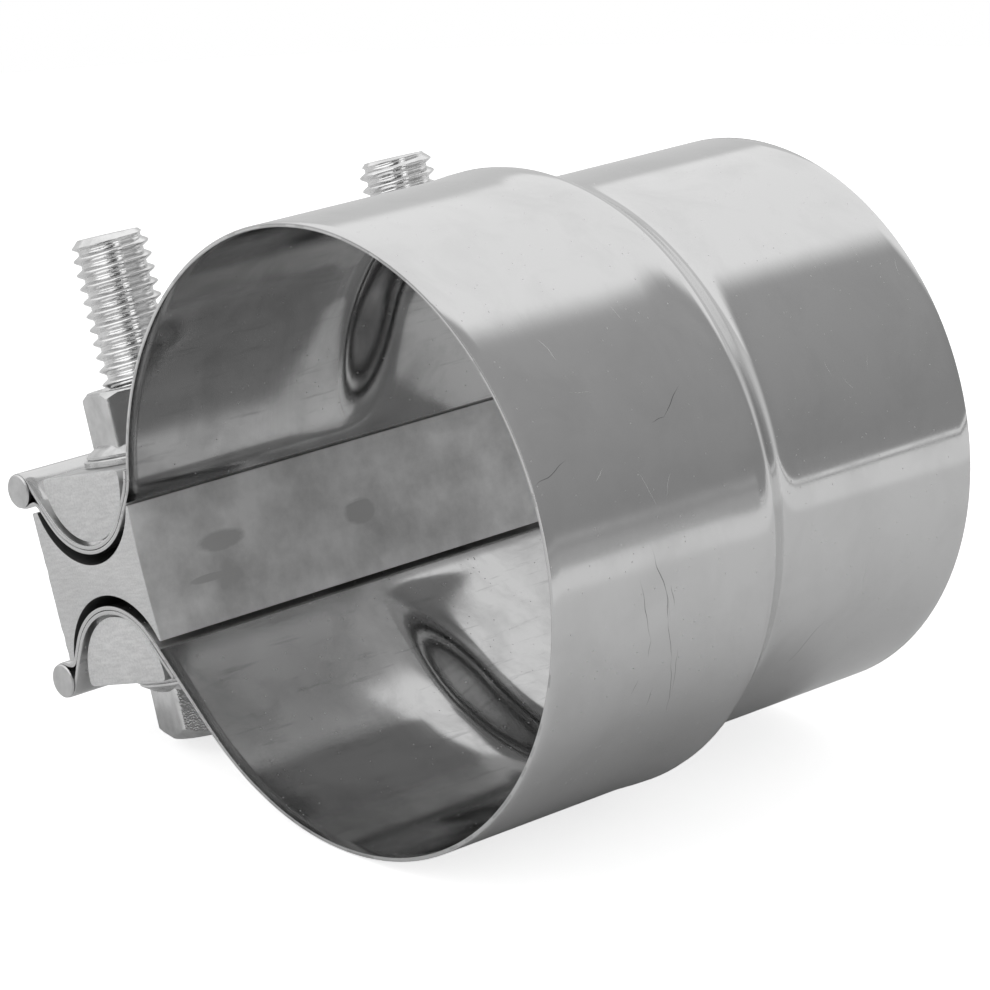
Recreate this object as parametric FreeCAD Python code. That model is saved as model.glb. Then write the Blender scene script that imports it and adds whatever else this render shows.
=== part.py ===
import FreeCAD, Part
import math
import os

# Stepped lap-joint band clamp for an exhaust tube, lying as it rests on a flat surface.
# One thin sheet makes the wide barrel, the rounded step and the narrow barrel. Each end of
# the sheet is folded double, cups a half-round bar, and is rolled round a steel rod. Two
# bolts pull the bars towards a grooved block that closes the gap in the barrel.
# Millimetres. The tube axis is +Y, the wide mouth is at y = 0, and +Z is up.

V = FreeCAD.Vector
os.makedirs("parts", exist_ok=True)

# Tubes and sheet
narrow_tube_d = 55.0      # outside diameter of the tube in the narrow end
tube_rise = 5.3           # the tube in the wide end is this much larger, so 60.3 mm, 2 3/8 in
wide_play = 0.1           # radial room round the wide tube before tightening
narrow_play = 0.32
sheet = 0.45              # thickness of the band
band_length = 58.0        # whole width of the band, along the tube
step_start = 27.1         # where the wide barrel starts to neck down
step_length = 7.0

# Block, bars and rods. "Out" is the distance from the tube axis, "up" from the mid plane.
block_play = 0.14         # from the wide bore's wall line to the block's corners
block_depth = 16.55
block_corner_up = 6.9     # half the height of the block's face towards the tube
block_back_up = 7.76      # half the height of its outer face
face_radius = 90.0        # hollow of the face towards the tube
web = 3.22                # thinnest part between the two grooves
groove_r = 8.0
groove_off = 7.72         # grooves' centre line from the wide bore's wall line
fold_play = 0.14          # difference between groove and fold radius
open_gap = 0.9            # how far each fold still stands off its groove's bottom
bar_r = 6.45
bar_play = 0.08           # between bar and fold
bar_flat_up = 10.8        # the bars' flat faces from the mid plane
bar_round = 0.5           # rounding where flat and round meet
bar_inset = 0.3           # bar ends sit this far inside the band's edges
rod_r = 1.33
rod_play = 0.05
rod_off = 17.85           # rods' centre line from the wide bore's wall line
rod_up = 9.94
rod_stick = 0.33          # rods stand this far past the band's edges

lean_deg = 1.6            # bolts, bars and folds hang this far out of square with the block

# Fasteners, 5/16-18 with small-pattern hexagons, 7/16 in across flats
bolt_d = 7.94
bolt_off = 7.34           # bolts' centre lines from the wide bore's wall line
front_inset = 10.4        # front bolt from the wide mouth
rear_inset = 9.0          # rear bolt from the narrow mouth
bolt_reach = 33.4         # threaded end of the front bolt from the mid plane
rear_rise = 0.8           # the rear bolt stands this much higher
bolt_tip_chamfer = 0.85
across_flats = 11.11
head_height = 6.35
nut_height = 6.6
collar_r = 7.2            # round collar under nut and head
collar_edge = 0.45
collar_slope = 0.9        # height of the cone from the collar's edge to the hexagon
hex_chamfer = 45.0
nut_end_r = 5.65          # round end face inside the chamfer
head_end_r = 5.1
thread_play = 0.05        # nut bore to thread crest
washer_r = 7.55
washer_t = 0.75
washer_play = 0.3
hole_play = 0.35          # bars and block
band_hole_play = 0.7      # the band's holes are wider, so that the folds can close

# How the sheet leaves the round on either side of the gap
leave_up = 8.65           # height at which the wide barrel turns out towards the fold
upper_dip_up = 7.41       # in the narrow barrel the sheet runs on to here first
lower_dip_up = 6.95
tail_length = 1.7         # welded overlap past the turn
side_deg = 46.0           # free-form stretch starts here, plain round beyond

# Worked out from the sizes above
wide_r = (narrow_tube_d + tube_rise) / 2 + wide_play
narrow_r = narrow_tube_d / 2 + narrow_play
step_end = step_start + step_length
leave_deg = math.degrees(math.asin(leave_up / (wide_r + sheet / 2)))
block_face = wide_r - block_play
groove_out = wide_r + groove_off
rod_out = wide_r + rod_off
bolt_out = wide_r + bolt_off
groove_up = web / 2 + groove_r
fold_outer_r = groove_r - fold_play
fold_inner_r = fold_outer_r - 2 * sheet
fold_up = groove_up + open_gap
bolt_r = bolt_d / 2
bar_shift = fold_inner_r - bar_r - bar_play
bar_up = fold_up - math.sqrt(max(bar_shift ** 2 - (groove_out - bolt_out) ** 2, 0.0))
bolt_rows = (("front", front_inset), ("rear", band_length - rear_inset))
seat_up = bar_flat_up + washer_t
corner_r = across_flats / 2 / math.cos(math.radians(30))
hex_turn = {"nut_front": 47.0, "nut_rear": 21.0, "bolt_front": 13.0, "bolt_rear": 33.0}

# The clamp rests on the wide barrel and on both bolt heads. This is the roll about the tube
# axis at which the heads' lowest edge is level with the barrel's.
lean = math.radians(lean_deg)
head_foot = seat_up + head_height
head_out = bolt_out + head_end_r * math.cos(lean) + head_foot * math.sin(lean)
head_up = head_foot * math.cos(lean) - head_end_r * math.sin(lean)
rest_deg = math.degrees(math.asin((wide_r + sheet) / math.hypot(head_out, head_up))
                        - math.atan2(head_up, head_out))


def at(out, up, y=0.0):
    """A point given by its distance out from the axis and up from the mid plane."""
    return V(-out, y, up)


def prism(edges, y0, length):
    """Solid of a closed outline in the plane y = y0, drawn out along the tube axis."""
    face = Part.Face(Part.Wire(Part.__sortEdges__(edges)))
    return face.extrude(V(0, length, 0)) if y0 == 0 else face.translated(V(0, y0, 0)).extrude(V(0, length, 0))


def leaned(shape):
    """Tilt a piece with the bolts, about the crossing of their plane and the mid plane."""
    shape.rotate(V(-bolt_out, 0, 0), V(0, 1, 0), lean_deg)
    return shape


def side_point(out, up, s):
    """Where a point of the upright fold on side s comes to lie, as (out, height on its side)."""
    from_bolt = out - bolt_out
    return (bolt_out + from_bolt * math.cos(lean) - s * up * math.sin(lean),
            up * math.cos(lean) + s * from_bolt * math.sin(lean))


def rest(shape):
    """Roll a finished piece into the resting pose."""
    shape.rotate(V(0, 0, 0), V(0, 1, 0), -rest_deg)
    return shape


def save(name, shape):
    shape = rest(shape)
    shape.exportStep("parts/" + name + ".step")
    print(name, "volume", round(shape.Volume, 2), "solids", len(shape.Solids), "valid", shape.isValid())


def upright_cylinder(r, low, high, y):
    """Cylinder square with the mid plane on a bolt's place, between two heights."""
    return Part.makeCylinder(r, high - low, at(bolt_out, low, y), V(0, 0, 1))


# Block between the folds

def block():
    side = []
    for s in (1, -1):
        corner = at(block_face, s * block_corner_up)
        inner = groove_out - math.sqrt(groove_r ** 2 - (groove_up - block_corner_up) ** 2)
        outer = groove_out + math.sqrt(groove_r ** 2 - (groove_up - block_back_up) ** 2)
        back = at(block_face + block_depth, s * block_back_up)
        side.append(Part.makeLine(corner, at(inner, s * block_corner_up)))
        side.append(Part.Arc(at(inner, s * block_corner_up), at(groove_out, s * web / 2),
                             at(outer, s * block_back_up)).toShape())
        side.append(Part.makeLine(at(outer, s * block_back_up), back))
    side.append(Part.makeLine(at(block_face + block_depth, block_back_up),
                              at(block_face + block_depth, -block_back_up)))
    hollow = face_radius - math.sqrt(face_radius ** 2 - block_corner_up ** 2)
    side.append(Part.Arc(at(block_face, block_corner_up), at(block_face + hollow, 0),
                         at(block_face, -block_corner_up)).toShape())
    body = prism(side, 0, band_length)
    for name, y in bolt_rows:
        body = body.cut(upright_cylinder(bolt_r + hole_play, -groove_up, groove_up, y))
    return body


# Half-round bars

def bar(s):
    length = band_length - 2 * bar_inset
    half = math.sqrt(bar_r ** 2 - (bar_flat_up - bar_up) ** 2)
    flat = Part.makeLine(at(bolt_out - half, s * bar_flat_up), at(bolt_out + half, s * bar_flat_up))
    belly = Part.Arc(at(bolt_out - half, s * bar_flat_up), at(bolt_out, s * (bar_up - bar_r)),
                     at(bolt_out + half, s * bar_flat_up)).toShape()
    body = prism([flat, belly], bar_inset, length)
    long_edges = [e for e in body.Edges
                  if abs(e.Length - length) < 1e-6 and abs(abs(e.CenterOfMass.z) - bar_flat_up) < 1e-6]
    body = body.makeFillet(bar_round, long_edges)
    for name, y in bolt_rows:
        body = body.cut(upright_cylinder(bolt_r + hole_play, -2 * bar_flat_up, 2 * bar_flat_up, y))
    return leaned(body)


# Bolts, nuts and washers, drawn on their own axis with the seat at z = 0

def hexagon(height, turn, end_r):
    """Hexagonal prism with its outer corners chamfered, on a round sloping collar."""
    corners = [V(corner_r * math.cos(math.radians(60 * i + turn)),
                 corner_r * math.sin(math.radians(60 * i + turn)), 0) for i in range(7)]
    prism_ = Part.Face(Part.makePolygon(corners)).extrude(V(0, 0, height))
    drop = (corner_r - end_r) * math.tan(math.radians(hex_chamfer))
    turned = Part.makePolygon([V(0, 0, 0), V(corner_r + 0.01, 0, 0), V(corner_r + 0.01, 0, height - drop),
                               V(end_r, 0, height), V(0, 0, height), V(0, 0, 0)])
    turned = Part.Face(turned).revolve(V(0, 0, 0), V(0, 0, 1), 360)
    collar = Part.makePolygon([V(0, 0, 0), V(collar_r, 0, 0), V(collar_r, 0, collar_edge),
                               V(across_flats / 2, 0, collar_edge + collar_slope),
                               V(0, 0, collar_edge + collar_slope), V(0, 0, 0)])
    collar = Part.Face(collar).revolve(V(0, 0, 0), V(0, 0, 1), 360)
    return prism_.common(turned).fuse(collar).removeSplitter()


def bolt(name, y, reach):
    head = hexagon(head_height, hex_turn[name], head_end_r)
    head.rotate(V(0, 0, 0), V(1, 0, 0), 180)
    length = reach + seat_up
    shank = Part.makePolygon([V(0, 0, 0), V(bolt_r, 0, 0), V(bolt_r, 0, length - bolt_tip_chamfer),
                              V(bolt_r - bolt_tip_chamfer, 0, length), V(0, 0, length), V(0, 0, 0)])
    shank = Part.Face(shank).revolve(V(0, 0, 0), V(0, 0, 1), 360)
    body = head.fuse(shank).removeSplitter()
    body.translate(at(bolt_out, -seat_up, y))
    return leaned(body)


def nut(name, y):
    body = hexagon(nut_height, hex_turn[name], nut_end_r)
    bore = bolt_r + thread_play
    body = body.cut(Part.makeCylinder(bore, nut_height, V(0, 0, 0), V(0, 0, 1)))
    for z, big, small in ((0, bore + 0.6, bore), (nut_height - 0.6, bore, bore + 0.6)):
        body = body.cut(Part.makeCone(big, small, 0.6, V(0, 0, z), V(0, 0, 1)))
    body.translate(at(bolt_out, seat_up, y))
    return leaned(body)


def washer(low, y):
    ring = Part.makeCylinder(washer_r, washer_t, at(bolt_out, low, y), V(0, 0, 1))
    ring = ring.cut(Part.makeCylinder(bolt_r + washer_play, washer_t, at(bolt_out, low, y), V(0, 0, 1)))
    return leaned(ring)


# Band

def barrel_share(y):
    """1 in the wide barrel, 0 in the narrow one: a brisk shoulder, then a long soft foot."""
    run = min(max((y - step_start) / step_length, 0.0), 1.0)
    return 1 - run ** 2 * (6 - 8 * run + 3 * run ** 2)


def polar(r, deg):
    return V(r * math.cos(math.radians(deg)), r * math.sin(math.radians(deg)), 0)


def leaving():
    """Angle at which the sheet under the gap leaves the wide round, straight to its fold."""
    out, up = side_point(groove_out, fold_up, -1)
    return math.degrees(math.atan2(up, out) + math.acos((wide_r + fold_outer_r) / math.hypot(out, up)))


def meeting(s):
    """Point on the sheet's centre line where it runs into the fold's outer circle."""
    fold_line = fold_outer_r - sheet / 2
    centre = V(*side_point(groove_out, fold_up, s), 0)
    if s < 0:
        return centre - polar(fold_line, leaving())
    start = polar(wide_r + sheet / 2, leave_deg)
    way = centre - start
    aim = math.degrees(math.atan2(way.y, way.x) - math.asin(fold_line / way.Length))
    return start + polar(math.sqrt(way.Length ** 2 - fold_line ** 2), aim)


def side_poles(s):
    """Guide points of the sheet beside the gap, for the wide and for the narrow barrel."""
    wide_line, narrow_line = wide_r + sheet / 2, narrow_r + sheet / 2
    straight = leaving() if s < 0 else 0.0
    dip = math.degrees(math.asin((upper_dip_up if s > 0 else lower_dip_up) / narrow_line))

    def opened(deg):
        return polar(wide_line / math.cos(math.radians(max(straight - deg, 0.0))), deg)

    lip, meet = opened(leave_deg), meeting(s)
    first, last = side_deg - 2, leave_deg + 3.2
    wide = [opened(side_deg)] + [opened(first - (first - last) * i / 7) for i in range(8)]
    last = dip + 3.4
    narrow = [polar(narrow_line, side_deg)]
    narrow += [polar(narrow_line, first - (first - last) * i / 6) for i in range(7)]
    narrow.append(polar(narrow_line + 1.05, dip + 0.8))
    ends = [lip + (meet - lip) * k for k in (0, 0.45, 0.75, 1.0)]
    return wide + ends, narrow + ends


def side_curve(y, s):
    """Centre line of the sheet beside the gap at y, from the round to the fold."""
    wide, narrow = side_poles(s)
    share = barrel_share(y)
    poles = [n + (w - n) * share for w, n in zip(wide, narrow)]
    count = len(poles)
    curve = Part.BSplineCurve()
    curve.buildFromPolesMultsKnots([at(p.x, s * p.y, y) for p in poles],
                                   [4] + [1] * (count - 4) + [4], list(range(count - 2)), False, 3)
    return curve


def beside(curve, s, distance, first, last, count):
    """Line beside a side curve, distance away on the outer side of the sheet."""
    span = curve.LastParameter
    points = []
    for i in range(count + 1):
        u = span * (first + (last - first) * i / count)
        out = V(0, 1, 0).cross(curve.tangent(u)[0]) * s
        points.append(curve.value(u) + out * distance)
    line = Part.BSplineCurve()
    line.interpolate(Points=points, Parameters=[i / count for i in range(count + 1)])
    return line


def tail_start(s):
    """Share of the side curve before the welded second layer begins."""
    curve = side_curve(0, s)
    lip = 0.72 * curve.LastParameter
    back = curve.parameterAtDistance(-tail_length, lip)
    return back / curve.LastParameter


def band_section(y):
    """Closed outline of the sheet at y from fold to fold, doubled beside the folds."""
    loop = []
    ends = {}
    for s in (1, -1):
        curve, tail = side_curve(y, s), tails[s]
        inner = beside(curve, s, -sheet / 2, 0, 1, 26)
        single = beside(curve, s, sheet / 2, 0, tail, 10)
        double = beside(curve, s, 1.5 * sheet, tail, 1, 18)
        loop += [inner.toShape(), single.toShape(), double.toShape(),
                 Part.makeLine(single.value(1), double.value(0)),
                 Part.makeLine(double.value(1), inner.value(1))]
        ends[s] = (inner.value(0), single.value(0))
    for i, r in ((0, barrel_r(y)), (1, barrel_r(y) + sheet)):
        loop.append(Part.Arc(ends[1][i], at(-r, 0, y), ends[-1][i]).toShape())
    return Part.Wire(Part.__sortEdges__(loop))


def barrel_r(y):
    return narrow_r + (wide_r - narrow_r) * barrel_share(y)


def strip():
    """The sheet from fold to fold: straight, through the step, straight."""
    steps = 10
    places = [step_start + step_length * i / steps for i in range(steps + 1)]
    parts = [Part.makeLoft([band_section(0), band_section(step_start)], True, True),
             Part.makeLoft([band_section(y) for y in places], True, True),
             Part.makeLoft([band_section(step_end), band_section(band_length)], True, True)]
    faces = []
    for part in parts:
        for face in part.Faces:
            box = face.BoundBox
            inside = step_start - 0.01 < box.YMin and box.YMax < step_end + 0.01
            if box.YLength > 0.01 or not inside:
                faces.append(face)
    shell = Part.Shell(faces)
    shell.sewShape()
    return Part.Solid(shell)


def fold(s):
    """Double-thickness fold that cups a bar, with the roll round the rod at its end."""
    meet = meeting(s)
    out, up = side_point(groove_out, fold_up, s)
    rod_x, rod_y = side_point(rod_out, rod_up, s)
    start = math.atan2(meet.y - up, meet.x - out)
    roll_r = rod_r + rod_play + sheet
    dx, dy = rod_x - out, rod_y - up
    far = math.hypot(dx, dy)
    end = math.atan2(dy, dx) - math.acos((fold_inner_r + roll_r) / far)
    n = (math.cos(end), math.sin(end))
    reach = math.sqrt(far ** 2 - (fold_inner_r + roll_r) ** 2)

    def ring(r, a):
        return at(out + r * math.cos(a), s * (up + r * math.sin(a)))

    def leg(r, t):
        return at(out + r * n[0] - t * n[1], s * (up + r * n[1] + t * n[0]))

    mid = (start + end) / 2 if start < end else (start - 2 * math.pi + end) / 2
    cup = [Part.Arc(ring(fold_inner_r, start), ring(fold_inner_r, mid), ring(fold_inner_r, end)).toShape(),
           Part.Arc(ring(fold_outer_r, start), ring(fold_outer_r, mid), ring(fold_outer_r, end)).toShape(),
           Part.makeLine(ring(fold_inner_r, start), ring(fold_outer_r, start)),
           Part.makeLine(ring(fold_inner_r, end), leg(fold_inner_r, reach)),
           Part.makeLine(leg(fold_inner_r, reach), leg(fold_outer_r, reach)),
           Part.makeLine(leg(fold_outer_r, reach), ring(fold_outer_r, end))]
    body = prism(cup, 0, band_length)
    rod = at(rod_x, s * rod_y)
    body = body.fuse(Part.makeCylinder(roll_r, band_length, rod, V(0, 1, 0)))
    return body.cut(Part.makeCylinder(rod_r + rod_play, band_length, rod, V(0, 1, 0)))


def band():
    body = strip().fuse(fold(1)).fuse(fold(-1)).removeSplitter()
    for name, y in bolt_rows:
        for s in (1, -1):
            drill = upright_cylinder(bolt_r + band_hole_play, min(s * web / 2, s * fold_up),
                                     max(s * web / 2, s * fold_up), y)
            body = body.cut(leaned(drill))
    return body


def rod(s):
    out, up = side_point(rod_out, rod_up, s)
    return Part.makeCylinder(rod_r, band_length + 2 * rod_stick, at(out, s * up, -rod_stick), V(0, 1, 0))


tails = {1: tail_start(1), -1: tail_start(-1)}
print("rest angle", round(rest_deg, 3))
save("reaction_block", block())
for side, s in (("upper", 1), ("lower", -1)):
    save("clamp_bar_" + side, bar(s))
    save("retaining_rod_" + side, rod(s))
for row, y in bolt_rows:
    reach = bolt_reach + (rear_rise if row == "rear" else 0.0)
    save("bolt_" + row, bolt("bolt_" + row, y, reach))
    save("nut_" + row, nut("nut_" + row, y))
    save("nut_washer_" + row, washer(bar_flat_up, y))
    save("head_washer_" + row, washer(-bar_flat_up - washer_t, y))
save("band", band())
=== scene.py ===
import bpy
import math
import random
from mathutils import Matrix, Vector


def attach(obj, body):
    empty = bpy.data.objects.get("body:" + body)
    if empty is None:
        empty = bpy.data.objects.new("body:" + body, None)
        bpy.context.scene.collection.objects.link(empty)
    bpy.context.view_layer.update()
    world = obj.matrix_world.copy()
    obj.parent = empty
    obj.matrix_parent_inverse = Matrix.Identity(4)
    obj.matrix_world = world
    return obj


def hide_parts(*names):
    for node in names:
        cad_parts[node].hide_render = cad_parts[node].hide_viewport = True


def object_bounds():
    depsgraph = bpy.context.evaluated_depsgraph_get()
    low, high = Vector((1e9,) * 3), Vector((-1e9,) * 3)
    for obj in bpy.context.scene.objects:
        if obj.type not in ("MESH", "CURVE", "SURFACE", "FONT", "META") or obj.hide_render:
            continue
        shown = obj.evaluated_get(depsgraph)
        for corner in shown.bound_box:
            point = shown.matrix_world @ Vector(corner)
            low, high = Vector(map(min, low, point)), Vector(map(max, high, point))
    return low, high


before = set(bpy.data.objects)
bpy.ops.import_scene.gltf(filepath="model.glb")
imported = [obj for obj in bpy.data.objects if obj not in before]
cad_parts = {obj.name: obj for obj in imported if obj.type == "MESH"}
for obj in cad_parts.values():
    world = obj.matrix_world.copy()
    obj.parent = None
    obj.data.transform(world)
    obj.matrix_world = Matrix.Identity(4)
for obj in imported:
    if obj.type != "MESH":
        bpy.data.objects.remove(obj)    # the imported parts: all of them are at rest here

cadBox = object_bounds()

# Pieces are modelled upright in millimetres: tube axis along Y, bolts along Z, the fold's side
# towards -X. settle() then rolls them into the resting pose and turns them into metres.
clamp = {
    "restDeg": 18.765,        # roll about the tube axis at which barrel and bolt heads touch the floor
    "leanDeg": 1.6,           # bolts, bars and folds hang this far out of square with the block
    "sheet": 0.45,            # band thickness
    "length": 58.0,
    "wideR": 30.25,           # inside radius of the wide barrel
    "narrowR": 27.82,
    "boltOut": 37.59,         # bolt line from the tube axis
    "boltRows": {"front": 10.4, "rear": 49.0},
    "barFlatUp": 10.8,
    "washerT": 0.75,
}
seatUp = clamp["barFlatUp"] + clamp["washerT"]


def linear(hexColour):
    # sRGB hex to the linear colour that a socket takes
    parts = [int(hexColour[i:i + 2], 16) / 255 for i in (1, 3, 5)]
    return [c / 12.92 if c <= 0.04045 else ((c + 0.055) / 1.055) ** 2.4 for c in parts] + [1.0]


def addNode(tree, kind, inputs=None, **settings):
    # an input is a value, a socket, or a node that gives its first output
    node = tree.nodes.new("ShaderNode" + kind)
    for name, value in settings.items():
        setattr(node, name, value)
    for name, value in (inputs or {}).items():
        if isinstance(value, bpy.types.Node):
            value = value.outputs[0]
        if isinstance(value, bpy.types.NodeSocket):
            tree.links.new(value, node.inputs[name])
        else:
            node.inputs[name].default_value = value
    return node


def newMaterial(name):
    # a material with its output only, and millimetre object coordinates ready for patterns
    material = bpy.data.materials.new(name)
    material.use_nodes = True
    tree = material.node_tree
    tree.nodes.clear()
    where = addNode(tree, "TexCoord")
    mm = addNode(tree, "VectorMath", {0: where.outputs["Object"], 1: (1000, 1000, 1000)},
                 operation="MULTIPLY")
    # turned back upright, so that patterns line up with the bolts and the fold
    upright = addNode(tree, "VectorRotate", {"Vector": mm, "Axis": (0, 1, 0),
                                             "Angle": math.radians(clamp["restDeg"])},
                      rotation_type="AXIS_ANGLE")
    return material, tree, upright


def closeMaterial(tree, shader):
    addNode(tree, "OutputMaterial", {"Surface": shader})


# Modelling helpers

def clearSelection():
    if bpy.context.object and bpy.context.object.mode != "OBJECT":
        bpy.ops.object.mode_set(mode="OBJECT")
    bpy.ops.object.select_all(action="DESELECT")


def pickOnly(piece):
    clearSelection()
    piece.select_set(True)
    bpy.context.view_layer.objects.active = piece


def selectFaces(piece, test):
    # object mode in, edit mode with the faces that pass the test selected out
    if bpy.context.object.mode != "OBJECT":
        bpy.ops.object.mode_set(mode="OBJECT")
    bpy.ops.object.mode_set(mode="EDIT")
    bpy.ops.mesh.select_mode(type="FACE")
    bpy.ops.mesh.select_all(action="DESELECT")
    bpy.ops.object.mode_set(mode="OBJECT")
    for face in piece.data.polygons:
        face.select = bool(test(face.center, face.normal))
    bpy.ops.object.mode_set(mode="EDIT")


def selectEdges(piece, test):
    # the same for edges, by their two ends
    bpy.ops.object.mode_set(mode="EDIT")
    bpy.ops.mesh.select_mode(type="EDGE")
    bpy.ops.mesh.select_all(action="DESELECT")
    bpy.ops.object.mode_set(mode="OBJECT")
    points = piece.data.vertices
    for edge in piece.data.edges:
        a, b = (points[i].co for i in edge.vertices)
        edge.select = bool(test(a, b))
    bpy.ops.object.mode_set(mode="EDIT")


def applyModifier(piece, kind, **settings):
    pickOnly(piece)
    modifier = piece.modifiers.new(kind.title(), kind)
    for name, value in settings.items():
        setattr(modifier, name, value)
    bpy.ops.object.modifier_apply(modifier=modifier.name)


def cutWith(piece, tool, operation="DIFFERENCE"):
    applyModifier(piece, "BOOLEAN", object=tool, operation=operation, solver="EXACT")
    bpy.data.objects.remove(tool)


def tidyNormals(piece):
    pickOnly(piece)
    bpy.ops.object.mode_set(mode="EDIT")
    bpy.ops.mesh.select_all(action="SELECT")
    bpy.ops.mesh.remove_doubles(threshold=0.002)
    bpy.ops.mesh.normals_make_consistent(inside=False)
    bpy.ops.object.mode_set(mode="OBJECT")


def leanOver(piece):
    # tilts a piece with the bolts, about the crossing of their plane and the mid plane
    pickOnly(piece)
    bpy.ops.object.transform_apply()
    pivot = Matrix.Translation((-clamp["boltOut"], 0, 0))
    lean = Matrix.Rotation(math.radians(clamp["leanDeg"]), 4, "Y")
    piece.matrix_world = pivot @ lean @ pivot.inverted()
    bpy.ops.object.transform_apply()


def leanPoint(out, up, s):
    # where a point of the upright fold on side s comes to lie, as (out, height on its side)
    lean, way = math.radians(clamp["leanDeg"]), out - clamp["boltOut"]
    return Vector((clamp["boltOut"] + way * math.cos(lean) - s * up * math.sin(lean),
                   up * math.cos(lean) + s * way * math.sin(lean)))


def settle(piece, name, body, slot, *nodes, smoothDeg=30):
    # upright millimetres to resting metres, then tied to the body it moves with
    pickOnly(piece)
    piece.name = name
    piece.data.name = name
    bpy.ops.object.transform_apply()
    roll = Matrix.Rotation(-math.radians(clamp["restDeg"]), 4, "Y")
    piece.matrix_world = roll @ Matrix.Scale(0.001, 4)
    bpy.ops.object.transform_apply()
    bpy.ops.object.shade_smooth_by_angle(angle=math.radians(smoothDeg))
    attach(piece, body)
    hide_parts(*nodes)


def drawnLine(points, y=0):
    # open line of vertices through (x, z) points, left in edit mode with all of it selected
    clearSelection()
    bpy.ops.mesh.primitive_plane_add(size=1)
    piece = bpy.context.object
    bpy.ops.object.mode_set(mode="EDIT")
    bpy.ops.mesh.select_mode(type="VERT")
    bpy.ops.mesh.select_all(action="SELECT")
    bpy.ops.mesh.merge(type="CENTER")
    bpy.ops.transform.translate(value=(points[0][0], y, points[0][1]))
    for (x0, z0), (x1, z1) in zip(points, points[1:]):
        bpy.ops.mesh.extrude_vertices_move(TRANSFORM_OT_translate={"value": (x1 - x0, 0, z1 - z0)})
    bpy.ops.mesh.select_all(action="SELECT")
    return piece


def lathe(points, steps):
    # turned solid from (radius, height) points; the first and last lie on the axis
    piece = drawnLine(points)
    bpy.ops.mesh.spin(steps=steps, angle=2 * math.pi, center=(0, 0, 0), axis=(0, 0, 1))
    tidyNormals(piece)
    return piece


def joined(piece, *others):
    clearSelection()
    for other in others:
        other.select_set(True)
    piece.select_set(True)
    bpy.context.view_layer.objects.active = piece
    bpy.ops.object.join()
    return piece


# Stainless sheet, rolled bright and polished: a soft mirror, faintly drawn out along the strip,
# with hairline scratches, dust and finger smears that show as paler spots in dark reflections

bandLook = {
    "outside": {"colour": "#D9D9D9", "stain": "#D2D2D2", "roughness": 0.12, "narrowRoughness": 0.08,
                "smear": 0.03, "scuff": 0.0},
    # the inside's colour and stain are darker than the outside's: painted shade inside the barrel; its
    # scuffs are wear from the tube
    "inside": {"colour": "#C6C6C6", "stain": "#B0B0B0", "roughness": 0.12, "narrowRoughness": 0.12,
               "smear": 0.05, "scuff": 0.4},
    # the darker of these two greys is painted into the dark scratches, as painted shade of their walls; the
    # other is the scuffs' own colour
    "scuffed": "#8C8C8C", "scratchShade": "#7C7C7C",
    "rollScale": (0.02, 2.8, 1),      # per mm: long in arc, 0.35 mm apart, coarser than the real ones
    "smearScale": 0.12,               # 8 mm and more across
    "scuffScale": (1.1, 0.11, 1),     # 1 mm wide and 10 mm long
    "dustCells": 1.25,                # cells of 0.8 mm
    "dust": 0.5,                      # share of the cells without a speck
    "bendScale": 0.35,                # scratches bend every 3 mm or so
    "bend": 0.9,                      # by up to half of this, in mm
}
# scratches on the outside from (arc mm round from +X, mm along) to the same, and half width
# the first list are real scratches that are also painted darker: painted shade in them
darkScratches = [
    (7.3, 20.5, 4.8, 17.4, 0.034), (4.8, 17.4, 4.8, 16.0, 0.03), (-7.2, 12.8, -10.2, 13.7, 0.03),
    (-10.2, 13.7, -13.3, 14.3, 0.034), (-13.3, 14.3, -17.7, 15.3, 0.038),
    (-17.7, 15.3, -24.1, 17.2, 0.034), (-8.5, 10.7, -14.8, 12.3, 0.03),
    (-14.8, 12.3, -16.3, 12.3, 0.026), (-10.0, 14.4, -12.0, 15.0, 0.038),
    (-16.8, 16.0, -21.4, 16.7, 0.03), (-20.5, 13.8, -22.3, 13.8, 0.03),
    (-18.7, 11.5, -19.9, 11.2, 0.026), (-22.6, 39.6, -27.7, 36.9, 0.038),
    (-5.6, 12.3, -13.3, 14.6, 0.022), (3.6, 4.5, 2.4, 0.5, 0.038),
]
lightScratches = [
    (1.1, 12.4, -2.2, 13.6, 0.038), (-0.2, 16.2, -1.8, 15.2, 0.038), (9.5, 8.2, 8.9, 10.4, 0.03),
    (14.0, 56.1, 12.2, 55.5, 0.038), (5.2, 47.0, 3.4, 46.2, 0.03), (6.0, 41.0, 3.9, 41.5, 0.06),
    (3.5, 42.7, 2.3, 43.6, 0.05), (16.1, 17.9, 14.9, 18.0, 0.05), (14.8, 7.9, 12.9, 8.4, 0.06),
    (1.3, 7.5, 2.0, 8.6, 0.05), (-16.2, 44.0, -19.8, 44.2, 0.03),
]


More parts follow.
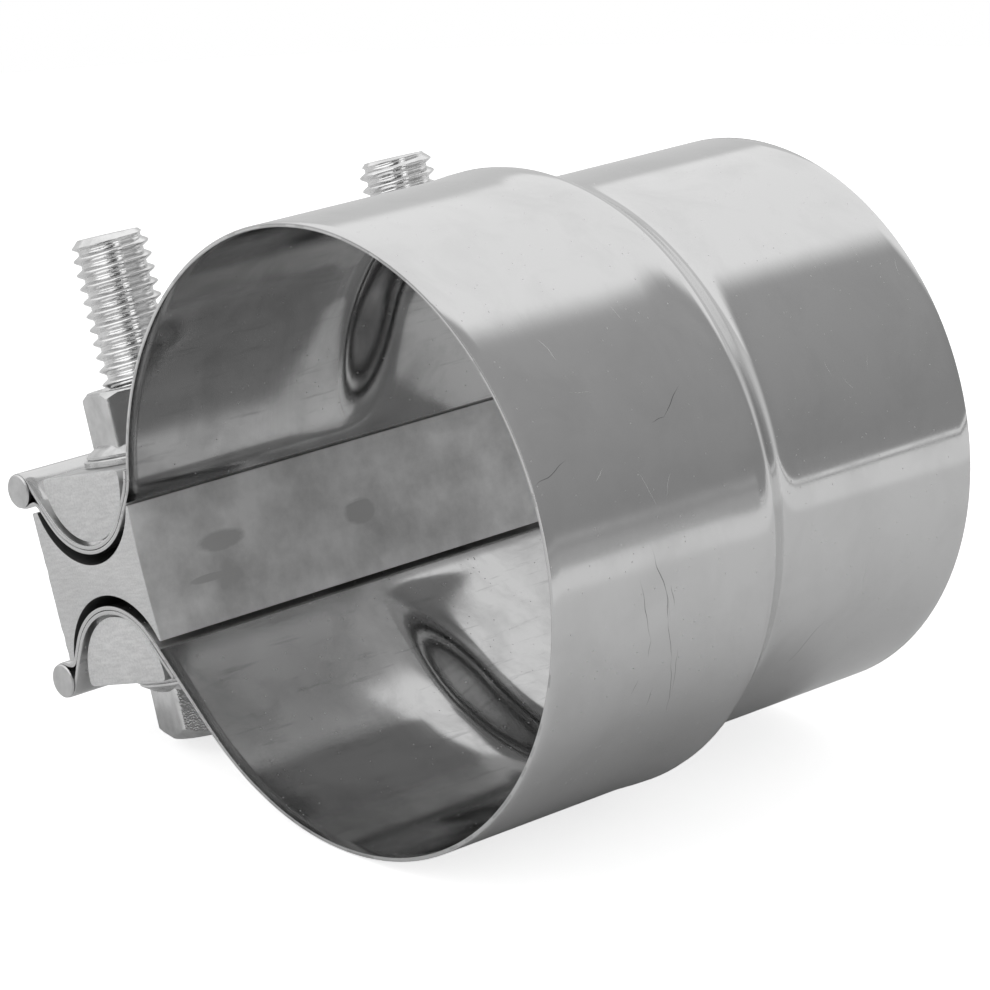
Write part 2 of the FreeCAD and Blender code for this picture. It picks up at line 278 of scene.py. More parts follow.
def stainlessSheet(name, look, dark, light):
    material, tree, upright = newMaterial(name)
    split = addNode(tree, "SeparateXYZ", {0: upright})
    turn = addNode(tree, "Math", {0: split.outputs["Z"], 1: split.outputs["X"]}, operation="ARCTAN2")
    arc = addNode(tree, "Math", {0: turn, 1: clamp["wideR"]}, operation="MULTIPLY")
    flat = addNode(tree, "CombineXYZ", {0: arc, 1: split.outputs["Y"]})
    # rolling marks run round the band
    rolled = addNode(tree, "Mapping", {"Vector": flat, "Scale": bandLook["rollScale"]})
    rolling = addNode(tree, "TexNoise", {"Vector": rolled, "Scale": 1.0, "Detail": 3.0})
    # smears left by hands and by the oil of the press
    smears = addNode(tree, "TexNoise", {"Vector": upright, "Scale": bandLook["smearScale"], "Detail": 5.0,
                                        "Roughness": 0.62, "Distortion": 0.4})
    smearMask = addNode(tree, "MapRange", {"Value": smears, "From Min": 0.45, "From Max": 0.7})
    # dust: one speck of under 0.1 mm in some of the cells
    cells = addNode(tree, "TexVoronoi", {"Vector": flat, "Scale": bandLook["dustCells"]})
    speck = addNode(tree, "MapRange", {"Value": cells.outputs["Distance"], "From Min": 0.05,
                                       "From Max": 0.12, "To Min": 1.0, "To Max": 0.0})
    cellPick = addNode(tree, "SeparateColor", {0: cells.outputs["Color"]})
    some = addNode(tree, "Math", {0: cellPick, 1: bandLook["dust"]}, operation="GREATER_THAN")
    bright = addNode(tree, "Math", {0: speck, 1: some}, operation="MULTIPLY")
    # scuffs from the tube, drawn out along it
    pushed = addNode(tree, "Mapping", {"Vector": flat, "Scale": bandLook["scuffScale"]})
    scuffs = addNode(tree, "TexNoise", {"Vector": pushed, "Scale": 1.0, "Detail": 5.0, "Roughness": 0.65})
    scuff = addNode(tree, "MapRange", {"Value": scuffs, "From Min": 0.57, "From Max": 0.7, "To Min": 0.0,
                                       "To Max": look["scuff"]})
    # each scratch is a long thin ellipse, bent a little
    most = bandLook["bend"]
    bend = addNode(tree, "TexNoise", {"Vector": flat, "Scale": bandLook["bendScale"], "Detail": 1.0})
    bent = addNode(tree, "VectorMath", {0: bend.outputs["Color"], 1: (most, most, 0), 2: flat},
                   operation="MULTIPLY_ADD")
    masks = {}
    for kind, lines in (("dark", dark), ("light", light)):
        mask = None
        for arc0, y0, arc1, y1, half in lines:
            middle = ((arc0 + arc1 + most) / 2, (y0 + y1 + most) / 2, 0)
            long = math.hypot(arc1 - arc0, y1 - y0) / 2 + 0.2
            place = addNode(tree, "Mapping", {"Vector": bent, "Location": middle,
                                              "Rotation": (0, 0, math.atan2(y1 - y0, arc1 - arc0)),
                                              "Scale": (long, half, 1)}, vector_type="TEXTURE")
            reach = addNode(tree, "VectorMath", {0: place}, operation="LENGTH")
            line = addNode(tree, "MapRange", {"Value": reach.outputs["Value"], "From Min": 0.5,
                                              "From Max": 1.1, "To Min": 1.0, "To Max": 0.0})
            mask = addNode(tree, "Math", {0: mask or 0.0, 1: line}, operation="MAXIMUM")
        masks[kind] = mask or 0.0
    bright = addNode(tree, "Math", {0: bright, 1: masks["light"]}, operation="MAXIMUM")
    stained = addNode(tree, "Mix", {0: smearMask, 6: linear(look["colour"]), 7: linear(look["stain"])},
                      data_type="RGBA")
    scuffed = addNode(tree, "Mix", {0: scuff, 6: stained.outputs[2], 7: linear(bandLook["scuffed"])},
                      data_type="RGBA")
    # the dark scratches darken the colour: painted shade in real scratches
    scratchShade = addNode(tree, "Mix", {0: masks["dark"], 6: scuffed.outputs[2],
                                   7: linear(bandLook["scratchShade"])}, data_type="RGBA")
    # the narrow barrel was drawn over a mandrel and came out the shinier of the two
    rolledRough = 0.05
    base = addNode(tree, "MapRange", {"Value": split.outputs["Y"], "From Min": 27.0, "From Max": 34.0,
                                      "To Min": look["roughness"] - rolledRough / 2,
                                      "To Max": look["narrowRoughness"] - rolledRough / 2})
    rough = addNode(tree, "Math", {0: rolling, 1: rolledRough, 2: base}, operation="MULTIPLY_ADD")
    rough = addNode(tree, "Math", {0: smearMask, 1: look["smear"], 2: rough}, operation="MULTIPLY_ADD")
    rough = addNode(tree, "Math", {0: bright, 1: 0.5, 2: rough}, operation="MULTIPLY_ADD")
    relief = addNode(tree, "Bump", {"Height": rolling, "Strength": 0.012, "Distance": 0.0001})
    shader = addNode(tree, "BsdfPrincipled", {"Base Color": scratchShade.outputs[2], "Metallic": 1.0,
                                              "Roughness": rough, "Normal": relief})
    closeMaterial(tree, shader)
    return material


# Extruded aluminium block: dull drawn sides with lines along the extrusion and smears

blockLook = {
    # the darkest grey here is the painted shadow in the grooves
    "pale": "#F4F4F4", "deep": "#C6C6C6", "grooveShadow": "#4A4A4A",
    "metal": 0.4,             # the rest is its dull oxide skin
    "grooveShadowOut": (31.0, 32.8),   # the painted shadow in the grooves sets in 1 mm behind the face
    # darker oval patches on the face: (along, out, up, half length, half width)
    "marks": [(10.3, 30.1, 1.0, 3.0, 1.0), (9.3, 30.1, -3.5, 0.45, 0.4), (7.6, 30.1, -2.3, 2.2, 0.4),
              (28.2, 30.1, -0.3, 2.0, 1.3)],
}


def extrudedAluminium():
    material, tree, upright = newMaterial("extruded_aluminium")
    drawn = addNode(tree, "Mapping", {"Vector": upright, "Scale": (2.2, 0.03, 2.2)})
    lines = addNode(tree, "TexNoise", {"Vector": drawn, "Scale": 1.0, "Detail": 4.0})
    cloudy = addNode(tree, "TexNoise", {"Vector": upright, "Scale": 0.16, "Detail": 6.0,
                                        "Roughness": 0.6})
    tone = addNode(tree, "MapRange", {"Value": cloudy, "From Min": 0.35, "From Max": 0.7})
    split = addNode(tree, "SeparateXYZ", {0: upright})
    flat = addNode(tree, "CombineXYZ", {0: split.outputs["X"], 1: split.outputs["Z"]})
    # the marks are darker, broken up by the drawn lines
    marks = None
    for along, out, up, halfLong, halfWide in blockLook["marks"]:
        place = addNode(tree, "Mapping", {"Vector": upright, "Location": (-out, along, up),
                                          "Scale": (3, halfLong, halfWide)}, vector_type="TEXTURE")
        reach = addNode(tree, "VectorMath", {0: place}, operation="LENGTH")
        spot = addNode(tree, "MapRange", {"Value": reach.outputs["Value"], "From Min": 0.75,
                                          "From Max": 1.1, "To Min": 1.0, "To Max": 0.0})
        marks = addNode(tree, "Math", {0: marks or 0.0, 1: spot}, operation="MAXIMUM")
    broken = addNode(tree, "Math", {0: marks, 1: lines}, operation="MULTIPLY")
    tone = addNode(tree, "Math", {0: broken, 1: 1.6, 2: tone}, operation="MULTIPLY_ADD", use_clamp=True)
    colour = addNode(tree, "Mix", {0: tone, 6: linear(blockLook["pale"]), 7: linear(blockLook["deep"])},
                     data_type="RGBA")
    # the grooves are painted dark: painted shade in the gap between them and the band's folds
    near, far = blockLook["grooveShadowOut"]
    deep = addNode(tree, "MapRange", {"Value": split.outputs["X"], "From Min": -near, "From Max": -far})
    for s in (1, -1):
        groove = addNode(tree, "VectorMath", {0: flat, 1: (-band["grooveOut"], s * block["grooveUp"], 0)},
                         operation="DISTANCE")
        grooveShadowMask = addNode(tree, "MapRange", {"Value": groove.outputs["Value"],
                                          "From Min": block["grooveR"] + 0.01,
                                          "From Max": block["grooveR"] + 0.06, "To Min": 1.0,
                                          "To Max": 0.0})
        grooveShadowMask = addNode(tree, "Math", {0: grooveShadowMask, 1: deep}, operation="MULTIPLY")
        colour = addNode(tree, "Mix", {0: grooveShadowMask, 6: colour.outputs[2], 7: linear(blockLook["grooveShadow"])},
                         data_type="RGBA")
    rough = addNode(tree, "MapRange", {"Value": lines, "From Min": 0.3, "From Max": 0.7, "To Min": 0.36,
                                       "To Max": 0.5})
    relief = addNode(tree, "Bump", {"Height": lines, "Strength": 0.12, "Distance": 0.0002})
    shader = addNode(tree, "BsdfPrincipled", {"Base Color": colour.outputs[2],
                                              "Metallic": blockLook["metal"], "Roughness": rough,
                                              "Normal": relief})
    closeMaterial(tree, shader)
    return material


# Sawn and tumbled ends of block and bars: pale and matt, with faint blade streaks 0.3 mm apart

endLook = {"streakDeg": 24, "metal": 0.65, "roughness": 0.55}


def sawnEnd(name, pale, deep):
    material, tree, upright = newMaterial(name)
    streak = addNode(tree, "Mapping", {"Vector": upright,
                                       "Rotation": (0, math.radians(endLook["streakDeg"]), 0),
                                       "Scale": (0.5, 1.0, 3.4)})
    streaks = addNode(tree, "TexNoise", {"Vector": streak, "Scale": 1.0, "Detail": 4.0})
    grains = addNode(tree, "TexNoise", {"Vector": upright, "Scale": 5.0, "Detail": 3.0})
    both = addNode(tree, "Math", {0: streaks, 1: grains}, operation="ADD")
    tone = addNode(tree, "MapRange", {"Value": both, "From Min": 0.75, "From Max": 1.25})
    colour = addNode(tree, "Mix", {0: tone, 6: linear(deep), 7: linear(pale)}, data_type="RGBA")
    relief = addNode(tree, "Bump", {"Height": both, "Strength": 0.35, "Distance": 0.0001})
    shader = addNode(tree, "BsdfPrincipled", {"Base Color": colour.outputs[2],
                                              "Metallic": endLook["metal"],
                                              "Roughness": endLook["roughness"], "Normal": relief})
    closeMaterial(tree, shader)
    return material


# Zinc-plated steel: bright, slightly milky, with 2 mm rubbed patches, darker and duller, and a
# grain of 0.2 mm, coarser than the real one

def zincPlate(name, colour, roughness):
    material, tree, upright = newMaterial(name)
    patches = addNode(tree, "TexNoise", {"Vector": upright, "Scale": 0.5, "Detail": 5.0,
                                         "Roughness": 0.6})
    grains = addNode(tree, "TexNoise", {"Vector": upright, "Scale": 6.0, "Detail": 2.0})
    tone = addNode(tree, "MapRange", {"Value": patches, "From Min": 0.35, "From Max": 0.7})
    base = addNode(tree, "Mix", {0: tone, 6: linear(colour[0]), 7: linear(colour[1])}, data_type="RGBA")
    spread = 0.12
    rough = addNode(tree, "Math", {0: patches, 1: spread, 2: roughness - spread / 2},
                    operation="MULTIPLY_ADD")
    relief = addNode(tree, "Bump", {"Height": grains, "Strength": 0.25, "Distance": 0.00006})
    shader = addNode(tree, "BsdfPrincipled", {"Base Color": base.outputs[2], "Metallic": 1.0,
                                              "Roughness": rough, "Normal": relief})
    closeMaterial(tree, shader)
    return material


sheetOutside = stainlessSheet("polished_stainless_outside", bandLook["outside"], darkScratches,
                              lightScratches)
sheetInside = stainlessSheet("polished_stainless_inside", bandLook["inside"], [], [])
blockEnd = sawnEnd("sawn_aluminium", "#E6E6E6", "#D4D4D4")
barEnd = sawnEnd("sheared_steel", "#ECECEC", "#DADADA")
boltZinc = zincPlate("bright_zinc_bolt", ("#EFEFEF", "#D2D2D2"), 0.12)
nutZinc = zincPlate("bright_zinc_nut", ("#DEDEDE", "#C4C4C4"), 0.22)
washerZinc = zincPlate("bright_zinc_washer", ("#E2E2E2", "#CCCCCC"), 0.22)
barZinc = zincPlate("bright_zinc_bar", ("#CCCCCC", "#B4B4B4"), 0.3)
rodZinc = zincPlate("drawn_wire_rod", ("#DCDCDC", "#C6C6C6"), 0.36)
print("materials ready")


# Band: one strip drawn as its wide and its narrow section, pulled out along the tube and
# bridged in between, then given its thickness. The strip's ends are folded double.

band = {
    "stepStart": 27.1,
    "stepEnd": 34.1,
    "leaveDeg": 16.49,        # where the sheet turns out towards the fold above the gap
    "sideDeg": 46.0,          # plain round beyond this angle
    "grooveOut": 37.97,       # centre of the folds
    "foldUp": 10.51,
    "foldR": 7.86,            # outside of the fold; the two layers lie on each other inside it
    "rodOut": 48.1,
    "rodUp": 9.94,
    "rodR": 1.38,             # inside of the rolled end
    "layerGap": 0.02,
    "holeR": 4.67,
    "stepRows": 12,
    "swell": 0.09,            # share of the step's height that the wide barrel swells just before it
    "swellLength": 4.8,
    "swellRows": 4,
    "rimRound": 0.12,         # deburred rims
    "rimStrip": 1.3,          # rows this close to the rims keep the rounding's shading to itself
    "lipReach": 2.5,          # the lips' undersides count as inside up to here past the wall
}


def polar(r, deg):
    return Vector((r * math.cos(math.radians(deg)), r * math.sin(math.radians(deg))))


def sidePoints(s, wide):
    # guide points of the sheet beside the gap, from the round to the fold, as (out, up)
    ring = (clamp["wideR"] if wide else clamp["narrowR"]) + clamp["sheet"] / 2
    wideRing = clamp["wideR"] + clamp["sheet"] / 2
    foldLine = band["foldR"] - clamp["sheet"] / 2
    centre = leanPoint(band["grooveOut"], band["foldUp"], s)
    straight = 0.0
    if s < 0:
        lean = math.atan2(centre.y, centre.x)
        straight = math.degrees(lean + math.acos((clamp["wideR"] + band["foldR"]) / centre.length))
        meet = centre - polar(foldLine, straight)
    else:
        start = polar(wideRing, band["leaveDeg"])
        way = centre - start
        aim = math.degrees(math.atan2(way.y, way.x) - math.asin(foldLine / way.length))
        meet = start + polar(math.sqrt(way.length ** 2 - foldLine ** 2), aim)
    opened = lambda deg: polar(wideRing / math.cos(math.radians(max(straight - deg, 0.0))), deg)
    lip = opened(band["leaveDeg"])
    first = band["sideDeg"] - 2
    last = band["leaveDeg"] + 3.2
    if not wide:
        # pulled straight from the narrow round to the lip, so that the step fades out there
        tangent = band["leaveDeg"] + math.degrees(math.acos(ring / lip.length))
        opened = lambda deg: polar(ring / math.cos(math.radians(max(tangent - deg, 0.0))), deg)
    points = [opened(band["sideDeg"])] + [opened(first - (first - last) * i / 7) for i in range(8)]
    return points + [lip + (meet - lip) * k for k in (0, 0.45, 0.75)], meet


def foldPoints(s):
    # fold's outer layer, rolled end and inner layer, as (out, up) guide points
    centre = leanPoint(band["grooveOut"], band["foldUp"], s)
    _, meet = sidePoints(s, True)
    half = clamp["sheet"] / 2
    outerLine, innerLine = band["foldR"] - half, band["foldR"] - 3 * half - band["layerGap"]
    rollLine = band["rodR"] + half
    inside = band["foldR"] - 4 * half
    start = math.atan2(meet.y - centre.y, meet.x - centre.x)
    if start > 0:
        start -= 2 * math.pi
    way = leanPoint(band["rodOut"], band["rodUp"], s) - centre
    end = math.atan2(way.y, way.x) - math.acos((inside + rollLine + half) / way.length)
    out = Vector((math.cos(end), math.sin(end)))
    along = Vector((-out.y, out.x))
    reach = math.sqrt(way.length ** 2 - (inside + rollLine + half) ** 2)
    rodAt = centre + out * (inside + rollLine + half) + along * reach
    steps = 12
    swell = 1 + ((end - start) / steps) ** 2 / 6    # guide points lie a little outside their round
    arc = [(start + (end - start) * i / steps, swell if 0 < i < steps else 1) for i in range(steps + 1)]
    outer, inner = ([centre + Vector((math.cos(a), math.sin(a))) * r * k for a, k in arc]
                    for r in (outerLine, innerLine))
    at = lambda n, t: rodAt + out * n + along * t
    low = outerLine - inside - rollLine - half
    neck = [at(low, -4.64), at(low, -3.88), at(low, -3.12), at(low + 0.09, -2.51), at(-0.47, -2.08),
            at(0.28, -1.85)]
    roll = [at(*polar(rollLine * 1.055, 34 * i - 52)) for i in range(7)] + [at(-rollLine, 0)]
    back = [at(-rollLine, -1.14), at(-rollLine, -reach * 0.4), at(-rollLine, -reach * 0.7)]
    return outer + neck + roll + back + inner[::-1]


def tailPoints(s, wide):
    # second layer on the outside of the barrel, from the fold back to its cut edge
    side, meet = sidePoints(s, wide)
    line = side + [meet]
    shift = clamp["sheet"] + band["layerGap"]
    points = []
    for i in range(len(line) - 2, 7, -1):
        way = (line[i + 1] - line[i - 1]).normalized()
        points.append(line[i] + Vector((-way.y, way.x)) * shift)
    return points


def sectionPoints(wide):
    ring = (clamp["wideR"] if wide else clamp["narrowR"]) + clamp["sheet"] / 2
    half = {}
    for s in (1, -1):
        side, meet = sidePoints(s, wide)
        half[s] = tailPoints(s, wide)[::-1] + foldPoints(s)[::-1] + side[::-1]
        half[s] = [Vector((p.x, s * p.y)) for p in half[s]]
    first = band["sideDeg"]
    count = 36
    step = (360 - 2 * first) / count
    swell = 1 + math.radians(step) ** 2 / 6
    middle = [polar(ring * swell, first + step * i) for i in range(1, count)]
    return half[1] + middle + half[-1][::-1]


def drawSection(share, y):
    # one line across the strip: share 1 is the wide barrel, 0 the narrow one
    clearSelection()
    bpy.ops.curve.primitive_nurbs_path_add()
    line = bpy.context.object
    wide, narrow = sectionPoints(True), sectionPoints(False)
    line.data.splines.clear()
    spline = line.data.splines.new("NURBS")
    spline.points.add(len(wide) - 1)
    for slot, a, b in zip(spline.points, wide, narrow):
        p = b.lerp(a, share)
        slot.co = (-p.x, y, p.y, 1)
    spline.order_u = 4
    spline.use_endpoint_u = True
    spline.resolution_u = 3
    bpy.ops.object.convert(target="MESH")
    return bpy.context.object


def buildBand():
    # a brisk shoulder, then a long soft foot
    chains = []
    for i in range(band["swellRows"]):
        run = i / band["swellRows"]
        chains.append(drawSection(1 + band["swell"] * run * run * (3 - 2 * run),
                                  band["stepStart"] - band["swellLength"] * (1 - run)))
    for i in range(band["stepRows"] + 1):
        run = i / band["stepRows"]
        share = (1 + band["swell"]) * (1 - run ** 2 * (6 - 8 * run + 3 * run ** 2))
        chains.append(drawSection(share, band["stepStart"] + (band["stepEnd"] - band["stepStart"]) * run))
    piece = joined(*chains)
    print("band outline", len(piece.data.vertices))
    selectEdges(piece, lambda a, b: True)
    bpy.ops.mesh.bridge_edge_loops(type="SINGLE")
    bpy.ops.object.mode_set(mode="OBJECT")
    front, strip = band["stepStart"] - band["swellLength"], band["rimStrip"]
    back = clamp["length"] - strip
    for low, move, rows in ((front, strip - front, 4), (strip, -strip, 1),
                            (band["stepEnd"], back - band["stepEnd"], 5), (back, strip, 1)):
        selectEdges(piece, lambda a, b: abs(a.y - low) < 0.01 and abs(b.y - low) < 0.01)
        for i in range(rows):
            bpy.ops.mesh.extrude_edges_move(TRANSFORM_OT_translate={"value": (0, move / rows, 0)})
        bpy.ops.object.mode_set(mode="OBJECT")
    selectEdges(piece, lambda a, b: True)
    bpy.ops.mesh.normals_make_consistent(inside=False)
    bpy.ops.object.mode_set(mode="OBJECT")
    print("band sheet", len(piece.data.polygons))
    applyModifier(piece, "SOLIDIFY", thickness=clamp["sheet"], offset=0.0, use_even_offset=True)
    for y in (0.0, clamp["length"]):
        selectFaces(piece, lambda c, n: abs(c.y - y) < 0.01 and abs(n.y) > 0.9)
        bpy.ops.mesh.region_to_loop()
        bpy.ops.mesh.bevel(offset=band["rimRound"], segments=2, affect="EDGES")
        bpy.ops.object.mode_set(mode="OBJECT")
    for y in clamp["boltRows"].values():
        for s in (1, -1):
            clearSelection()
            middle = band["foldUp"] / 2 + 0.5
            bpy.ops.mesh.primitive_cylinder_add(vertices=48, radius=band["holeR"],
                                                depth=band["foldUp"] - 2,
                                                location=(-clamp["boltOut"], y, s * middle))
            tool = bpy.context.object
            leanOver(tool)
            cutWith(piece, tool)
    return piece


sheet = buildBand()
sheet.data.materials.append(sheetOutside)
sheet.data.materials.append(sheetInside)
# faces towards the tube take the darker inside material, which carries painted shade
inner = clamp["wideR"] + band["lipReach"]
selectFaces(sheet, lambda c, n: c.x * n.x + c.z * n.z < 0 and math.hypot(c.x, c.z) < inner)
sheet.active_material_index = 1
bpy.ops.object.material_slot_assign()
bpy.ops.object.mode_set(mode="OBJECT")
settle(sheet, "band_sheet", "clamp", "band_sheet", "band", smoothDeg=40)
print("band done")


def outlinePrism(points, y0, length):
    # closed (out, up) outline drawn out along the tube axis
    piece = drawnLine([(-p.x, p.y) for p in points], y0)
    bpy.ops.mesh.edge_face_add()
    bpy.ops.mesh.extrude_region_move(TRANSFORM_OT_translate={"value": (0, length, 0)})
    bpy.ops.mesh.select_all(action="SELECT")
    bpy.ops.mesh.normals_make_consistent(inside=False)
    bpy.ops.object.mode_set(mode="OBJECT")
    return piece


def arcPoints(centre, r, first, last, count):
    return [centre + polar(r, first + (last - first) * i / count) for i in range(count + 1)]


def drill(piece, r, low, high):
    for y in clamp["boltRows"].values():
        clearSelection()
        bpy.ops.mesh.primitive_cylinder_add(vertices=48, radius=r, depth=high - low,
                                            location=(-clamp["boltOut"], y, (low + high) / 2))
        cutWith(piece, bpy.context.object)


def finishEnds(piece, side, end):
    # first material on the drawn sides, second on the cut ends
    piece.data.materials.append(side)
    piece.data.materials.append(end)
    selectFaces(piece, lambda centre, normal: abs(normal.y) > 0.7)
    piece.active_material_index = 1
    bpy.ops.object.material_slot_assign()
    bpy.ops.object.mode_set(mode="OBJECT")


# Reaction block: grooved bar that closes the gap in the barrel

block = {
    "face": 30.11,            # face towards the tube, from the tube axis
    "depth": 16.55,
    "cornerUp": 6.9,
    "backUp": 7.76,
    "faceR": 90.0,            # hollow of the face towards the tube
    "grooveR": 8.0,
    "grooveUp": 9.61,
    "holeR": 4.32,
    "edge": 0.16,             # tumbled edges
    "ridge": 0.13,            # lengthwise ridges on the outer face, at random
    "ridges": 19,
}


def buildBlock():
    rng = random.Random(4)
    centre = Vector((band["grooveOut"], block["grooveUp"]))
    first = 180 + math.degrees(math.asin((block["grooveUp"] - block["cornerUp"]) / block["grooveR"]))
    last = 360 - math.degrees(math.asin((block["grooveUp"] - block["backUp"]) / block["grooveR"]))
    groove = arcPoints(centre, block["grooveR"], first, last, 26)
    back = block["face"] + block["depth"]
    half = (block["ridges"] - 1) / 2
    ridges = [Vector((back - block["ridge"] * rng.random() * (i % 2 + 0.25),
                      block["backUp"] * (1 - i / half))) for i in range(block["ridges"])]
    rim = math.sqrt(block["faceR"] ** 2 - block["cornerUp"] ** 2)
    hollow = [Vector((block["face"] + math.sqrt(block["faceR"] ** 2 - v * v) - rim, v))
              for v in (-4.5, -2.25, 0, 2.25, 4.5)]
    lower = [Vector((p.x, -p.y)) for p in groove]
    outline = ([Vector((block["face"], block["cornerUp"]))] + groove + ridges
               + lower[::-1] + [Vector((block["face"], -block["cornerUp"]))] + hollow)
    piece = outlinePrism(outline, 0, clamp["length"])
    drill(piece, block["holeR"], -12, 12)
    applyModifier(piece, "BEVEL", width=block["edge"], segments=2, limit_method="ANGLE",
                  angle_limit=math.radians(50))
    finishEnds(piece, blockMetal, blockEnd)
    settle(piece, "reaction_block_grooved", "clamp", "block", "reaction_block")


blockMetal = extrudedAluminium()
buildBlock()
print("block done")


# Half-round bars

bar = {
    "r": 6.45,
    "up": 10.31,              # centre of the round
    "round": 0.5,
    "inset": 0.3,
    "edge": 0.18,
    "holeR": 4.32,
}


def buildBar(s, name):
    centre = Vector((clamp["boltOut"], bar["up"]))
    rise = clamp["barFlatUp"] - bar["up"]
    turn = math.degrees(math.asin((rise - bar["round"]) / (bar["r"] - bar["round"])))
    corner = polar(bar["r"] - bar["round"], turn)
    right = arcPoints(centre + corner, bar["round"], turn, 90, 6)
    left = arcPoints(centre + Vector((-corner.x, corner.y)), bar["round"], 90, 180 - turn, 6)
    belly = arcPoints(centre, bar["r"], 180 - turn, 360 + turn, 40)
    outline = [Vector((p.x, s * p.y)) for p in right + left + belly[1:-1]]
    piece = outlinePrism(outline, bar["inset"], clamp["length"] - 2 * bar["inset"])
    drill(piece, bar["holeR"], min(s * 3, s * 13), max(s * 3, s * 13))
    applyModifier(piece, "BEVEL", width=bar["edge"], segments=2, limit_method="ANGLE",
                  angle_limit=math.radians(50))
    finishEnds(piece, barZinc, barEnd)
    leanOver(piece)
    settle(piece, name, "clamp", "bars", name.replace("half_round", "clamp"))


buildBar(1, "half_round_bar_upper")
buildBar(-1, "half_round_bar_lower")
print("bars done")


# Rods in the rolled ends, their ends peened over

rod = {
    "r": 1.33,
    "headR": 1.76,
    "head": 0.33,             # peened end past the band's edge
}


def buildRod(s, name):
    half = clamp["length"] / 2
    face = half + rod["head"]
    headR = rod["headR"]
    profile = [(0, face - 0.03), (0.9, face), (1.35, face - 0.02), (headR - 0.12, face - 0.07),
               (headR, face - 0.18), (headR - 0.03, half + 0.03), (headR - 0.2, half + 0.01),
               (rod["r"], half)]
    profile = profile + [(r, -z) for r, z in profile[::-1]]
    piece = lathe(profile[::-1], 40)
    piece.rotation_euler = (math.radians(90), 0, 0)
    place = leanPoint(band["rodOut"], band["rodUp"], s)
    piece.location = (-place.x, half, s * place.y)
    piece.data.materials.append(rodZinc)
    settle(piece, name, "clamp", "rods", name.replace("peened", "retaining"))


buildRod(1, "peened_rod_upper")
buildRod(-1, "peened_rod_lower")
print("rods done")


# Bolts, nuts and washers

bolt = {
    "r": 3.97,
    "pitch": 25.4 / 18,
    "depth": 0.7,             # height of the thread's flanks
    "steps": 44,              # faces to a turn of the thread
    "reach": {"front": 33.4, "rear": 34.2},    # threaded end over the mid plane
    "threadFrom": 5.7,
    "tip": 0.85,
    "acrossFlats": 11.11,
    "headHeight": 6.35,
    "turn": {"front": 13.0, "rear": 33.0},
    "endR": 5.1,              # round end face inside the chamfer
    "cornerRound": 0.28,
}
nut = {
    "height": 6.6,
    "turn": {"front": 47.0, "rear": 21.0},
    "boreR": 4.02,
    "endR": 5.65,
}
collar = {
    "r": 7.2,
    "edge": 0.45,
    "slope": 0.9,
}
washer = {"r": 7.55, "holeR": 4.27, "edge": 0.12}


def hexagonWithCollar(height, turn, endR):
    flatR, r, edge = bolt["acrossFlats"] / 2, collar["r"], collar["edge"]
    cornerR = flatR / math.cos(math.radians(30))
    drop = cornerR - endR
    clearSelection()
    bpy.ops.mesh.primitive_cylinder_add(vertices=6, radius=cornerR, depth=height,
                                        location=(0, 0, height / 2),
                                        rotation=(0, 0, math.radians(turn - 90)))
    piece = bpy.context.object
    bpy.ops.object.transform_apply()
    applyModifier(piece, "BEVEL", width=bolt["cornerRound"], segments=3, limit_method="ANGLE",
                  angle_limit=math.radians(40))
    blank = lathe([(0, -0.01), (cornerR + 0.02, -0.01), (cornerR + 0.02, height - drop),
                   (endR, height - 0.03), (endR - 0.25, height), (0, height)], 96)
    cutWith(piece, blank, "INTERSECT")
    top = edge + collar["slope"]
    ring = lathe([(0, 0.0), (r - 0.14, 0.0), (r, 0.13), (r - 0.02, edge - 0.1), (r - 0.16, edge + 0.02),
                  (flatR + 0.3, top - 0.14), (flatR - 0.5, top + 0.05), (0, top + 0.05)], 96)
    cutWith(piece, ring, "UNION")
    return piece


def threadedRod(low, high):
    # one pitch of the rolled profile, wound up the bolt, cut to length and turned to the tip's cone
    root, crest, pitch = bolt["r"] - bolt["depth"], bolt["r"], bolt["pitch"]
    profile = [(root + 0.03, 0.0), (root, 0.07), (root + 0.06, 0.16), (crest - 0.13, 0.37),
               (crest - 0.03, 0.44), (crest, 0.5), (crest - 0.03, 0.56), (crest - 0.13, 0.63),
               (root + 0.06, 0.84), (root, 0.93), (root + 0.03, 1.0)]
    piece = drawnLine([(r, low + (z - 2) * pitch) for r, z in profile])
    bpy.ops.object.mode_set(mode="OBJECT")
    turns = math.ceil((high - low) / pitch) + 4
    applyModifier(piece, "SCREW", axis="Z", angle=2 * math.pi, screw_offset=pitch, iterations=turns,
                  steps=bolt["steps"], render_steps=bolt["steps"], use_merge_vertices=True,
                  merge_threshold=0.001)
    tidyNormals(piece)
    for level, above in ((low, False), (high, True)):
        bpy.ops.object.mode_set(mode="EDIT")
        bpy.ops.mesh.select_all(action="SELECT")
        bpy.ops.mesh.bisect(plane_co=(0, 0, level), plane_no=(0, 0, 1), use_fill=True,
                            clear_outer=above, clear_inner=not above)
        bpy.ops.object.mode_set(mode="OBJECT")
    tip = bolt["tip"]
    blank = lathe([(0, low - 1), (crest + 1, low - 1), (crest + 1, high - tip - 1),
                   (crest - tip, high - 0.02), (crest - tip - 0.3, high + 0.01), (0, high + 0.01)], 64)
    cutWith(piece, blank, "INTERSECT")
    return piece


